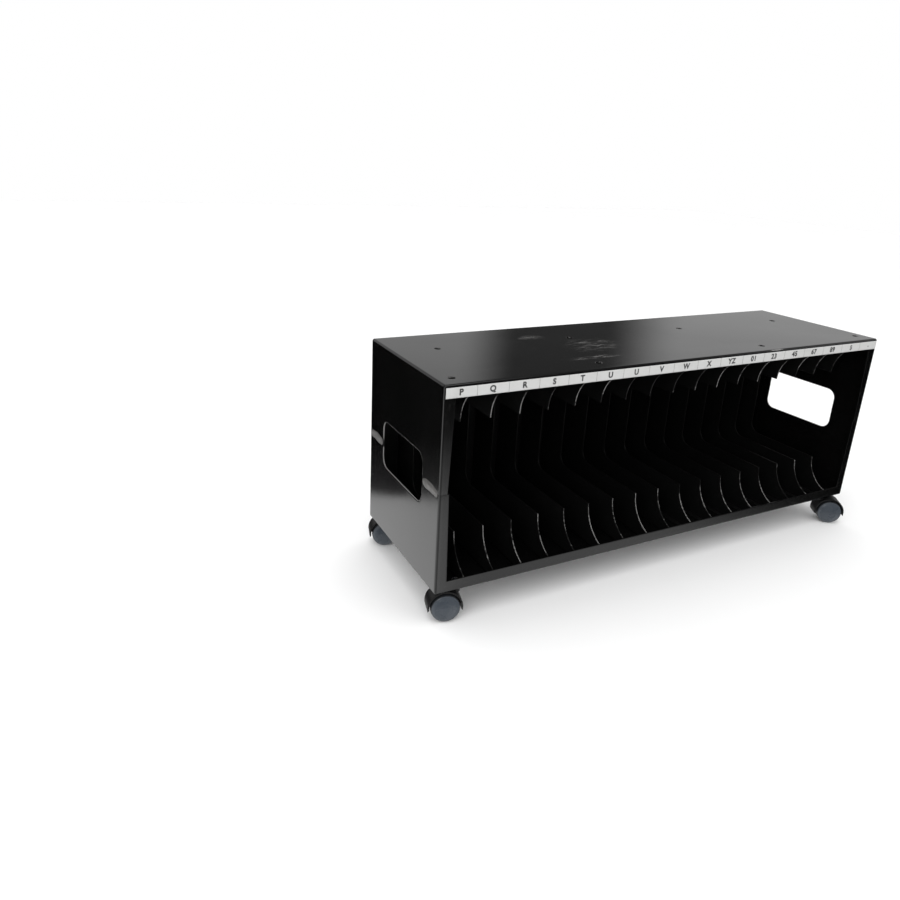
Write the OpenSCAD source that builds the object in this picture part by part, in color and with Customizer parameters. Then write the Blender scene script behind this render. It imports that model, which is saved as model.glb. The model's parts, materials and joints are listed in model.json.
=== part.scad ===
// Sorting rack on casters: a low cabinet of folded sheet steel with a row of open compartments.
// The origin is on the floor under the middle of the cabinet, +X is to the right, +Y to the back.

/* [Cabinet] */
// Length of the cabinet
cabinet_l = 1000; // [800:10:1250]
// Depth of the cabinet, front to back
cabinet_d = 293; // [240:1:360]
// Height of the cabinet without its casters
cabinet_h = 355; // [290:1:440]
// Sheet thickness of the shells and the back
sheet_t = 2; // [1.5:0.1:3]
// Outside radius of the bends in the shells
bend_r = 4; // [3.5:0.5:6]
// Height of the front flanges along the top and the bottom
flange_h = 21.5; // [16:0.5:30]
// Width of the side flanges where they meet the top and bottom flanges
side_flange_w = 20.5; // [16:0.5:30]
// Width of the upper shell's side flanges at the seam
upper_seam_w = 14.5; // [12:0.5:24]
// Width of the lower shell's side flanges at the seam
lower_seam_w = 17; // [12:0.5:24]
// Width of the flanges around the rear
rear_flange_w = 18; // [12:0.5:30]

/* [Hand holes] */
// Width of the hand hole in each end
hand_hole_w = 166; // [100:1:190]
// Height of the hand hole in each end
hand_hole_h = 88; // [50:1:120]
// Corner radius of the hand holes
hand_hole_r = 19; // [8:1:24]
// Width of a weld bead across the seam
bead_w = 13; // [8:0.5:18]
// Height of a weld bead above the sheet
bead_h = 1.5; // [0.8:0.1:2.5]
// Distance that each weld bead stops short of the edges beside it
bead_stop = 2.5; // [1:0.5:8]

/* [Compartments] */
// Number of compartments
slots = 18; // [12:1:20]
// Thickness of a divider
divider_t = 2; // [1.5:0.1:2.5]
// Gap between the front face of the cabinet and the dividers
divider_set = 5; // [4.5:0.5:12]
// Height of the arms that a divider has at the bottom and the top
arm_h = 80; // [60:1:95]
// Radius of the hollow curve at the front of each arm
nose_r = 67; // [60:1:74]
// Distance from the front face to the inner corner of each arm
nose_set = 48; // [40:1:54]
// Width of the upright web at the back of a divider
web_w = 71; // [50:1:90]
// Radius where the arms meet the web
crook_r = 25; // [10:1:35]
// Width of the spot-weld tabs folded along the top and bottom of a divider
tab_w = 13; // [8:0.5:18]

/* [Top holes and index] */
// Diameter of the holes in the top
top_hole_d = 12; // [6:0.5:14]
// Distance of the front row of holes from the front face
front_row_set = 32; // [26:1:50]
// Distance of the rear row of holes from the front face
rear_row_set = 194; // [120:1:205]
// Thickness of the index strip
strip_t = 0.4; // [0.3:0.1:1]
// Margin between the index strip and the edges of its flange
strip_margin = 0.4; // [0.2:0.1:2]

/* [Casters] */
// Radius of a wheel
wheel_r = 25; // [22:0.5:30]
// Half of the gap between the two wheels of a caster
wheel_gap = 6.5; // [6.3:0.1:8]
// Width of a wheel at its tread
tread_w = 9.5; // [8:0.5:13]
// Height of the domed face of a wheel beyond its tread
dome_h = 7; // [4:0.5:9]
// Gap between a wheel and its hood
hood_gap = 2.2; // [1.2:0.1:4]
// Wall thickness of the hood
hood_t = 2.8; // [2:0.1:4]
// Clear height between the hood and the cabinet
top_gap = 2.5; // [2:0.1:6]
// Distance from the swivel axis to the axle
trail = 18; // [14:0.5:20]
// Angle that the tips of the hood reach below the axle
tip_angle = 12; // [5:1:25]
// Radius of the stem
stem_r = 4; // [3:0.5:4]
// Radius of the axle
axle_r = 3; // [2:0.1:3.5]
// Radial clearance of the turning fits
fit_gap = 0.05; // [0.02:0.01:0.1]
// Distance of the stems from the front and rear faces
stem_set = 15; // [14:0.5:40]
// Gap between a stem's washer and the divider beside it
washer_gap = 1.5; // [0.5:0.5:4]
// Direction in which the front left caster trails, from +X
front_left_heading = 165; // [-180:1:180]
// Direction in which the front right caster trails, from +X
front_right_heading = -36; // [-180:1:180]
// Direction in which the rear left caster trails, from +X
rear_left_heading = 164; // [-180:1:180]
// Direction in which the rear right caster trails, from +X
rear_right_heading = 36; // [-180:1:180]

/* [Hidden] */
CORNERS = ["front_left", "front_right", "rear_left", "rear_right"];
CORNER_SIDE = [[-1, -1], [1, -1], [-1, 1], [1, 1]];
HEADING = [front_left_heading, front_right_heading, rear_left_heading, rear_right_heading];
function two_digits(k) = str(k < 10 ? "0" : "", k);
function divider_name(k) = str("divider_", two_digits(k));

$fn = 64;
ENAMEL = "#1c1c1e";
PAPER = "#e8e8e4";
HOOD_PLASTIC = "#141416";
WHEEL_PLASTIC = "#4c5056";
ZINC = "#b9bcc0";
RAW_WELD = "#5d5a57";

pitch = cabinet_l / slots;
hood_r = wheel_r + hood_gap + hood_t;
ride_h = wheel_r + hood_r + top_gap;
seam_z = ride_h + cabinet_h / 2;
top_z = ride_h + cabinet_h;
front_y = -cabinet_d / 2;
rear_y = cabinet_d / 2;
past = 1;
reach = cabinet_l + cabinet_d + cabinet_h;

washer_r = 2 * stem_r;
washer_t = 1.6;
nut_flats = 13;
nut_h = 6.5;
thread_end = 3;
collar_r = 9;
collar_t = 2.2;
collar_gap = 0.3;
boss_gap = 0.3;
tread_edge = 0.8;
rim_wall = 3.5;
hub_wall = 4;
floor_drop = 1;
cover_short = 1;
socket_grip = 1;
axle_end = 2.5;
axle_end_gap = 0.5;
stem_x = cabinet_l / 2 - pitch + divider_t / 2 + washer_r + washer_gap;
stem_y = cabinet_d / 2 - stem_set;
tread_y = wheel_gap + tread_w;
axle_reach = tread_y - axle_end;

// A flat outline in X and Z, made solid from y0 to y1
module along_y(y0, y1) {
    translate([0, y1, 0])
        rotate([90, 0, 0])
            linear_extrude(y1 - y0)
                children();
}

// A flat outline in Y and Z, made solid from x0 to x1
module along_x(x0, x1) {
    translate([x0, 0, 0])
        rotate([90, 0, 90])
            linear_extrude(x1 - x0)
                children();
}

// Rectangle about the origin with round corners
module round_rect(w, h, r) {
    square([w - 2 * r, h], center = true);
    square([w, h - 2 * r], center = true);
    for (sx = [-1, 1], sy = [-1, 1])
        translate([sx * (w / 2 - r), sy * (h / 2 - r)])
            circle(r);
}

// The cabinet's box with every edge bent round, drawn in by inset
module bent_box(inset) {
    l = cabinet_l - 2 * inset;
    d = cabinet_d - 2 * inset;
    h = cabinet_h - 2 * inset;
    r = bend_r - inset;
    translate([0, 0, seam_z])
        intersection() {
            translate([0, 0, -h / 2])
                linear_extrude(h)
                    round_rect(l, d, r);
            along_y(-d / 2, d / 2)
                round_rect(l, h, r);
            along_x(-l / 2, l / 2)
                round_rect(d, h, r);
        }
}

// The mouth at the front. Its sides lean inward from the seam to the corners.
module front_mouth() {
    half = cabinet_l / 2;
    mouth_top = top_z - flange_h;
    mouth_bottom = ride_h + flange_h;
    along_y(front_y - past, front_y + sheet_t + past)
        polygon([
            [-half + side_flange_w, mouth_top],
            [-half + upper_seam_w, seam_z],
            [-half + lower_seam_w, seam_z],
            [-half + side_flange_w, mouth_bottom],
            [half - side_flange_w, mouth_bottom],
            [half - lower_seam_w, seam_z],
            [half - upper_seam_w, seam_z],
            [half - side_flange_w, mouth_top]
        ]);
}

// The opening in the rear flanges, which the back panel closes from the inside
module rear_mouth() {
    along_y(rear_y - sheet_t - past, rear_y + past)
        translate([0, seam_z])
            square([cabinet_l - 2 * rear_flange_w, cabinet_h - 2 * rear_flange_w], center = true);
}

// The same rounded hole through both ends. The seam crosses it at mid-height.
module hand_holes() {
    along_x(-cabinet_l / 2 - past, cabinet_l / 2 + past)
        translate([0, seam_z])
            round_rect(hand_hole_w, hand_hole_h, hand_hole_r);
}

// Both shells in one piece, before they are parted at the seam
module folded_skin() {
    difference() {
        bent_box(0);
        bent_box(sheet_t);
        front_mouth();
        rear_mouth();
        hand_holes();
    }
}

// X of the middle of compartment number k, counted from the left
function slot_x(k) = (k - 0.5) * pitch - cabinet_l / 2;

// The top holes: [first of a mirrored pair of compartments, distance from the front face]
TOP_HOLE_PAIRS = [
    [1, front_row_set],
    [round(slots / 3), front_row_set],
    [2, rear_row_set],
    [round(slots / 3) + 1, rear_row_set]
];

// The top, the upper halves of the ends and the flanges round them, folded from one sheet
module upper_shell() {
    color(ENAMEL)
        difference() {
            intersection() {
                folded_skin();
                translate([-reach / 2, -reach / 2, seam_z])
                    cube(reach);
            }
            for (pair = TOP_HOLE_PAIRS, side = [-1, 1])
                translate([side * slot_x(pair[0]), front_y + pair[1], top_z - sheet_t - past])
                    cylinder(h = sheet_t + 2 * past, d = top_hole_d);
        }
}

// The bottom and the lower halves of the ends, folded in the same way
module lower_shell() {
    color(ENAMEL)
        difference() {
            intersection() {
                folded_skin();
                translate([-reach / 2, -reach / 2, seam_z - reach])
                    cube(reach);
            }
            at_stems()
                translate([0, 0, ride_h - past])
                    cylinder(h = sheet_t + 2 * past, r = stem_r);
        }
}

// Flat sheet inside the rear flanges, clear of the round of the bends
module back_panel() {
    clear = 2 * bend_r;
    color(ENAMEL)
        translate([0, rear_y - 1.5 * sheet_t, seam_z])
            cube([cabinet_l - clear, sheet_t, cabinet_h - clear], center = true);
}

// One bead is a low round-backed bar that lies across the seam on the outside
module weld_bead(y0, y1) {
    back_r = (bead_w * bead_w / 4 + bead_h * bead_h) / (2 * bead_h);
    along_y(y0, y1)
        intersection() {
            translate([cabinet_l / 2 + bead_h - back_r, seam_z])
                circle(back_r);
            translate([cabinet_l / 2, seam_z - bead_w])
                square([2 * bead_h, 2 * bead_w]);
        }
}

// Four beads, one on each side of each hand hole
module weld_beads() {
    edge_y = cabinet_d / 2 - bend_r - bead_stop;
    hole_y = hand_hole_w / 2 + bead_stop;
    color(RAW_WELD)
        for (end = [0, 1], side = [0, 1])
            mirror([end, 0, 0])
                mirror([0, side, 0])
                    weld_bead(hole_y, edge_y);
}

// Printed paper strip stuck along the top front flange
module index_strip() {
    over_bend = 1;
    strip_z = top_z - flange_h + strip_margin;
    strip_h = flange_h - bend_r - 2 * strip_margin;
    strip_l = cabinet_l - 2 * bend_r + 2 * over_bend;
    color(PAPER)
        translate([-strip_l / 2, front_y - strip_t, strip_z])
            cube([strip_l, strip_t, strip_h]);
}

// Side view of a divider: a tall plate with a deep hollow, and a curved nose on each arm
module divider_side() {
    plate_d = cabinet_d - 2 * sheet_t - divider_set;
    plate_h = cabinet_h - 2 * sheet_t;
    hollow_h = cabinet_h - 2 * arm_h;
    hollow_end = rear_y - 2 * sheet_t - web_w;
    difference() {
        translate([front_y + divider_set, seam_z - plate_h / 2])
            square([plate_d, plate_h]);
        translate([hollow_end - cabinet_d, seam_z])
            round_rect(2 * cabinet_d, hollow_h, crook_r);
        for (side = [-1, 1])
            translate([front_y + nose_set - nose_r, seam_z + side * hollow_h / 2])
                circle(nose_r);
    }
}

// Section of a divider: an upright with a tab folded to +X at each end
module divider_section() {
    plate_h = cabinet_h - 2 * sheet_t;
    fold_r = 1.5 * divider_t;
    full_w = 2 * tab_w;
    translate([-divider_t / 2, seam_z])
        intersection() {
            translate([full_w / 2, 0])
                difference() {
                    round_rect(full_w, plate_h, fold_r);
                    round_rect(full_w - 2 * divider_t, plate_h - 2 * divider_t, fold_r - divider_t);
                }
            translate([0, -plate_h / 2])
                square([tab_w, plate_h]);
        }
}

// The plate between compartments k and k + 1. Its tabs fold toward the middle of the cabinet,
// so that the outermost ones leave room for the washers of the stems.
module divider(k) {
    folds_left = k > slots / 2 ? 1 : 0;
    color(ENAMEL)
        translate([k * pitch - cabinet_l / 2, 0, 0])
            mirror([folds_left, 0, 0])
                intersection() {
                    along_x(-divider_t, tab_w + divider_t)
                        divider_side();
                    along_y(front_y, rear_y)
                        divider_section();
                }
}

// Places its children upright at each stem
module at_stems() {
    for (side = CORNER_SIDE)
        translate([side[0] * stem_x, side[1] * stem_y, 0])
            children();
}

// Places its children at corner c, turned so that +X is the way the caster trails
module at_corner(c) {
    translate([CORNER_SIDE[c][0] * stem_x, CORNER_SIDE[c][1] * stem_y, 0])
        rotate([0, 0, HEADING[c]])
            children();
}

// Steel stem: threaded above the collar, smooth in the hood below it
module stem(c) {
    foot_z = wheel_r + axle_r;
    tip_z = ride_h + sheet_t + washer_t + nut_h + thread_end;
    color(ZINC)
        at_corner(c) {
            translate([0, 0, foot_z])
                cylinder(h = tip_z - foot_z, r = stem_r);
            translate([0, 0, ride_h - collar_t])
                cylinder(h = collar_t, r = collar_r);
        }
}

// Flat washers on the inside of the bottom sheet
module stem_washers() {
    color(ZINC)
        at_stems()
            translate([0, 0, ride_h + sheet_t])
                difference() {
                    cylinder(h = washer_t, r = washer_r);
                    translate([0, 0, -past])
                        cylinder(h = washer_t + 2 * past, r = stem_r);
                }
}

// Hexagon nuts that hold the stems
module stem_nuts() {
    corner_r = nut_flats / 2 / cos(30);
    color(ZINC)
        at_stems()
            translate([0, 0, ride_h + sheet_t + washer_t])
                difference() {
                    cylinder(h = nut_h, r = corner_r, $fn = 6);
                    translate([0, 0, -past])
                        cylinder(h = nut_h + 2 * past, r = stem_r);
                }
}

// A cylinder on the axle's line, from y0 to y1
module on_axle(y0, y1, r) {
    translate([trail, y0, wheel_r])
        rotate([-90, 0, 0])
            cylinder(h = y1 - y0, r = r);
}

// Moulded hood: a curved cover over both wheels, held by a web between them
module hood(c) {
    sunk = 0.5;
    cover_y = tread_y - cover_short;
    web_y = wheel_gap / 2;
    boss_y = wheel_gap - boss_gap;
    boss_r = wheel_gap - sunk;
    socket_z = wheel_r + axle_r - socket_grip;
    boss_z = socket_z - 2 * socket_grip;
    neck_z = wheel_r + sqrt(hood_r * hood_r - trail * trail) - sunk;
    head_z = ride_h - collar_t - collar_gap;
    shell_r = wheel_r + hood_gap;
    color(HOOD_PLASTIC)
        at_corner(c)
            difference() {
                union() {
                    intersection() {
                        difference() {
                            on_axle(-cover_y, cover_y, hood_r);
                            on_axle(-cover_y - past, -web_y, shell_r);
                            on_axle(web_y, cover_y + past, shell_r);
                        }
                        above_tips(cover_y + past);
                    }
                    on_axle(-boss_y, boss_y, 2 * axle_r);
                    translate([0, 0, boss_z])
                        cylinder(h = head_z - boss_z, r = boss_r);
                    translate([0, 0, neck_z])
                        cylinder(h = head_z - neck_z, r = 2 * stem_r);
                }
                on_axle(-boss_y - past, boss_y + past, axle_r);
                translate([0, 0, socket_z])
                    cylinder(h = ride_h - socket_z, r = stem_r + fit_gap);
            }
}

// Keeps what lies above the two pointed tips of the hood
module above_tips(half_w) {
    tip_x = hood_r * cos(tip_angle);
    tip_z = wheel_r - hood_r * sin(tip_angle);
    inner_x = wheel_r;
    inner_z = tip_z + 2 * hood_t;
    top = wheel_r + hood_r + past;
    out = hood_r + past;
    along_y(-half_w, half_w)
        polygon([
            [trail - out, tip_z],
            [trail - tip_x, tip_z],
            [trail - inner_x, inner_z],
            [trail + inner_x, inner_z],
            [trail + tip_x, tip_z],
            [trail + out, tip_z],
            [trail + out, top],
            [trail - out, top]
        ]);
}

// Plain pin that both wheels turn on
module axle(c) {
    color(ZINC)
        at_corner(c)
            on_axle(-axle_reach, axle_reach, axle_r);
}

// Half section of a wheel: radius across, distance from the middle of the caster upward
function dome_outline(steps) = [
    for (i = [0:steps]) [
        wheel_r * cos(90 * i / steps),
        tread_y + dome_h * sin(90 * i / steps)
    ]
];

// Moulded wheel, open on the inside between its hub and its rim
module wheel_form() {
    hub_r = axle_r + hub_wall;
    rim_in = wheel_r - rim_wall;
    floor_y = tread_y - floor_drop;
    rotate_extrude()
        difference() {
            polygon(concat(
                [
                    [0, wheel_gap],
                    [wheel_r - tread_edge, wheel_gap],
                    [wheel_r, wheel_gap + tread_edge]
                ],
                dome_outline(10)
            ));
            translate([hub_r, wheel_gap - past])
                square([rim_in - hub_r, floor_y - wheel_gap + past]);
            translate([-past, wheel_gap - past])
                square([axle_r + fit_gap + past, axle_reach + axle_end_gap - wheel_gap + past]);
        }
}

// side is -1 or 1, which wheel of the pair it is
module wheel(c, side) {
    color(WHEEL_PLASTIC)
        at_corner(c)
            translate([trail, 0, wheel_r])
                rotate([-90 * side, 0, 0])
                    wheel_form();
}

upper_shell();
lower_shell();
back_panel();
weld_beads();
index_strip();
for (k = [1:slots - 1])
    divider(k);
stem_washers();
stem_nuts();
for (c = [0:3]) {
    stem(c);
    hood(c);
    axle(c);
    wheel(c, -1);
    wheel(c, 1);
}
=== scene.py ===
"""Sorting rack on casters: a low black cabinet of folded sheet steel with upright dividers.

The file follows the cabinet as it is put together: the two folded shells, the weld
beads, the back panel, the dividers, the index strip, the stems with their nuts, and
the twin-wheel casters. Everything is in metres, on the floor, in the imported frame.
"""

import json
import math

import bmesh
import bpy
import numpy as np
from mathutils import Matrix, Vector


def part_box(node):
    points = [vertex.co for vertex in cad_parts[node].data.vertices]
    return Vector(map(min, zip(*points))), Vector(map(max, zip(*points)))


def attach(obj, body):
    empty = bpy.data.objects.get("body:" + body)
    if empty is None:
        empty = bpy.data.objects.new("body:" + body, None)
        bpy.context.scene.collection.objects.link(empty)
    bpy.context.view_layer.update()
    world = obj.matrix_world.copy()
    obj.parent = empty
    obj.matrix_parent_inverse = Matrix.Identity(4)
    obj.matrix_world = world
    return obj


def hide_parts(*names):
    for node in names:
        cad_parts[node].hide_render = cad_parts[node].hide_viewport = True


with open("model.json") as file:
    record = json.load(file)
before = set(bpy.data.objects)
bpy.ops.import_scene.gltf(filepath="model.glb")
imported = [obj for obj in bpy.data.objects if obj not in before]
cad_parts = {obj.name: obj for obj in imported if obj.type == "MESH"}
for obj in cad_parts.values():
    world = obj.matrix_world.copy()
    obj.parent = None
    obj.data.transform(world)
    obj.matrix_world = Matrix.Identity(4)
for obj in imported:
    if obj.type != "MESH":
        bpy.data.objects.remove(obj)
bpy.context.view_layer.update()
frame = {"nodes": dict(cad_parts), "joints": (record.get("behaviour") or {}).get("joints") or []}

# ---------------------------------------------------------------- folded shells
# The cabinet's outside is two trays of 2 mm sheet steel, one upside down on the
# other. Top, half ends and flanges are folded from one blank round a 4 mm radius.
# Hand holes and bolt holes are cut first, and the whole is stoved black enamel.
MM = 0.001
upper_low, upper_high = (np.array(c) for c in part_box("upper_shell"))
lower_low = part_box("lower_shell")[0]
HALF_LENGTH = upper_high[0]
HALF_DEPTH = upper_high[1]
TOP_Z = upper_high[2]
SEAM_Z = upper_low[2]
BOTTOM_Z = lower_low[2]
SHEET = 2.0 * MM
BEND = 4.0 * MM
FRONT_FLANGE = 21.5 * MM
SIDE_FLANGE = 20.5 * MM
UPPER_SEAM_FLANGE = 14.5 * MM
LOWER_SEAM_FLANGE = 17.0 * MM
REAR_FLANGE = 18.0 * MM
HAND_HALF = (83.0 * MM, 44.0 * MM)
HAND_RADIUS = 19.0 * MM
BOLT_RADIUS = 6.0 * MM
SLOTS = 18
PITCH = 2 * HALF_LENGTH / SLOTS
FRONT_ROW = 32.0 * MM - HALF_DEPTH
REAR_ROW = 194.0 * MM - HALF_DEPTH
RUB_X = 0.200
RUB_HALF = 0.032
HAND_MARGINS = (3, 9)
BOLT_MARGINS = (3, 8)
HAND_FADE = 9.0 * MM
BOLT_FADE = 8.0 * MM
CORNER_STEPS = 5
END_STEP = 14.0 * MM
TOP_STEP = 24.0 * MM
DEPTH_STEP = 20.0 * MM
STIFF_RIM = 60.0 * MM
TOP_SINK = 0.35 * MM
END_LEAN = 0.3 * MM


def slot_middle(number):
    """X of the middle of a compartment, the first being at the left end."""
    return (number - 0.5) * PITCH - HALF_LENGTH


BOLT_HOLES = [
    (side * slot_middle(number), row)
    for number, row in ((1, FRONT_ROW), (6, FRONT_ROW), (2, REAR_ROW), (7, REAR_ROW))
    for side in (-1, 1)
]


def filled(required, step):
    """The required positions in order, with equal steps put in where they are far apart."""
    required = np.unique(np.round(required, 6))
    gaps = np.diff(required)
    counts = np.maximum(1, np.ceil(gaps / step)).astype(int)
    before = np.repeat(np.cumsum(counts) - counts, counts)
    rank = np.arange(counts.sum()) - before
    starts = np.repeat(required[:-1], counts)
    return np.append(starts + rank * np.repeat(gaps / counts, counts), required[-1])


def corner_levels(half, radius, steps, margins):
    """Grid levels on both sides of a cut-out: its edges, its corner zones, and margins."""
    zone = half - radius + radius * np.linspace(0, 1, steps + 1)
    outside = half + np.array(margins) * MM
    each = np.concatenate([zone, outside])
    return np.concatenate([-each, each])


def rounded(p, q, half_p, half_q, radius, fade_over):
    """Shift of grid points round a rectangle so that its corners become round.

    A point on an edge, a share t of the corner zone along, goes to the arc at 45 t
    degrees. Points outside share the shift of their foot on the rectangle, and it
    fades to nothing over the given distance.
    """
    abs_p, abs_q = np.abs(p), np.abs(q)
    t_p = np.clip((np.minimum(abs_p, half_p) - half_p + radius) / radius, 0, 1)
    t_q = np.clip((np.minimum(abs_q, half_q) - half_q + radius) / radius, 0, 1)
    on_side = abs_p >= half_p - 3e-6
    angle = np.radians(np.where(on_side, 45 * t_q, 90 - 45 * t_p))
    base_p = np.where(on_side, half_p, half_p - radius + radius * t_p)
    base_q = np.where(on_side, half_q - radius + radius * t_q, half_q)
    shift_p = half_p - radius + radius * np.cos(angle) - base_p
    shift_q = half_q - radius + radius * np.sin(angle) - base_q
    in_zone = np.where(on_side, t_q, t_p) > 0
    away = np.maximum(abs_p - half_p, abs_q - half_q)
    fade = np.clip(1 - away / fade_over, 0, 1) * in_zone
    return np.sign(p) * shift_p * fade, np.sign(q) * shift_q * fade


def ripples(x, y, seed, count, longest):
    """A soft random surface between 0 and 1: a sum of seeded sine waves, squeezed."""
    rng = np.random.default_rng(seed)
    total = np.zeros_like(x)
    for _ in range(count):
        heading, phase = rng.uniform(0, 2 * math.pi, 2)
        wave = longest * rng.uniform(0.35, 1)
        along = x * math.cos(heading) + y * math.sin(heading)
        total += np.sin(2 * math.pi * along / wave + phase)
    return 0.5 + 0.5 * np.tanh(total / math.sqrt(count))


def cell_middle(grid):
    """Value in the middle of each cell: the mean of its four corners."""
    return (grid[:-1, :-1] + grid[1:, :-1] + grid[1:, 1:] + grid[:-1, 1:]) / 4


def cell_in(zone):
    """Whether both ends of a cell's diagonal lie in a zone."""
    return zone[:-1, :-1] & zone[1:, 1:]


def grid_mesh(name, points, keep, wear_and_painted_light, flip):
    """Mesh of the kept cells of a grid of points. Equal points become one vertex.

    Cells that lose one corner that way become triangles, and thinner ones are left
    out. The value of each point, wear or painted light, goes into a vertex attribute.
    """
    flat = np.round(points.reshape(-1, 3), 7)
    spots, first, back = np.unique(flat, axis=0, return_index=True, return_inverse=True)
    index = back.reshape(points.shape[:2])
    corners = (index[:-1, :-1], index[1:, :-1], index[1:, 1:], index[:-1, 1:])
    quads = np.stack(corners, -1)[keep]
    if flip:
        quads = quads[:, ::-1]
    same = quads == np.roll(quads, -1, axis=1)
    whole = quads[~same.any(1)]
    thin = same.sum(1) == 1
    triangles = quads[thin][~same[thin]].reshape(-1, 3)
    used = np.unique(np.concatenate([whole.ravel(), triangles.ravel()]))
    whole = np.searchsorted(used, whole)
    triangles = np.searchsorted(used, triangles)
    mesh = bpy.data.meshes.new(name)
    mesh.from_pydata(spots[used].tolist(), [], whole.tolist() + triangles.tolist())
    layer = mesh.attributes.new("wear_and_painted_light", "FLOAT", "POINT")
    layer.data.foreach_set("value", wear_and_painted_light.ravel()[first][used].astype(np.float32))
    mesh.shade_smooth()
    return mesh


def put_in(name, mesh, material, body, slot, *stands_for):
    """Adds a finished mesh to the scene as a piece that rides on a body."""
    piece = bpy.data.objects.new(name, mesh)
    bpy.context.scene.collection.objects.link(piece)
    mesh.materials.append(material)
    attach(piece, body)
    if stands_for:
        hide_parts(*stands_for)
    return piece


def thicken(piece, thickness, edge):
    """Gives a sheet its thickness on the inside, and takes the sharpness off its edges."""
    wall = piece.modifiers.new("thickness", "SOLIDIFY")
    wall.thickness = thickness
    wall.offset = -1
    burr = piece.modifiers.new("edge", "BEVEL")
    burr.width = edge
    burr.segments = 2
    burr.limit_method = "ANGLE"
    burr.angle_limit = math.radians(60)
    burr.use_clamp_overlap = False
    flats = piece.modifiers.new("flats", "WEIGHTED_NORMAL")
    flats.keep_sharp = True


def add(tree, kind, settings=None, **inputs):
    """Adds a shader node. Each input is a value, or an output socket to link from.

    An input is named, with underscores for spaces, or is i0, i1 and so on by number.
    """
    node = tree.nodes.new(kind)
    for key, value in (settings or {}).items():
        setattr(node, key, value)
    for key, value in inputs.items():
        by_number = key[0] == "i" and key[1:].isdigit()
        socket = node.inputs[int(key[1:])] if by_number else node.inputs[key.replace("_", " ")]
        if isinstance(value, bpy.types.NodeSocket):
            tree.links.new(value, socket)
        else:
            socket.default_value = value
    return node


def new_material(name):
    """A material with an empty Principled shader, and its tree, shader and coordinates."""
    material = bpy.data.materials.new(name)
    material.use_nodes = True
    tree = material.node_tree
    shader = tree.nodes["Principled BSDF"]
    coordinates = tree.nodes.new("ShaderNodeTexCoord").outputs["Object"]
    return material, tree, shader, coordinates


def noise(tree, coordinates, scale, detail=3.0, roughness=0.5, stretch=None):
    """Noise between 0 and 1 over the piece's own coordinates, stretched if asked."""
    vector = coordinates
    if stretch:
        mapping = add(tree, "ShaderNodeMapping", Vector=coordinates)
        mapping.inputs["Scale"].default_value = stretch
        vector = mapping.outputs[0]
    made = add(tree, "ShaderNodeTexNoise", Vector=vector, Scale=scale, Detail=detail, Roughness=roughness)
    return made.outputs["Fac"]


def between(tree, value, low, high, to_low=0.0, to_high=1.0):
    """Maps a value from low..high to to_low..to_high, smoothly and without overshoot."""
    made = add(
        tree,
        "ShaderNodeMapRange",
        {"interpolation_type": "SMOOTHSTEP"},
        Value=value,
        From_Min=low,
        From_Max=high,
        To_Min=to_low,
        To_Max=to_high,
    )
    return made.outputs["Result"]


def sum_up(tree, operation, a, b):
    """One Math node on two values or sockets."""
    return add(tree, "ShaderNodeMath", {"operation": operation}, i0=a, i1=b).outputs[0]


def blend_colour(tree, share, first, second):
    """Mixes two colours or colour sockets by a share."""
    node = tree.nodes.new("ShaderNodeMix")
    node.data_type = "RGBA"
    for socket, value in ((node.inputs[0], share), (node.inputs[6], first), (node.inputs[7], second)):
        if isinstance(value, bpy.types.NodeSocket):
            tree.links.new(value, socket)
        else:
            socket.default_value = value
    return node.outputs[2]


def grey(value, warm=0.0):
    """An opaque colour of one brightness, a little warmer or cooler."""
    return (value * (1 + warm), value, value * (1 - warm), 1)


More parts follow.
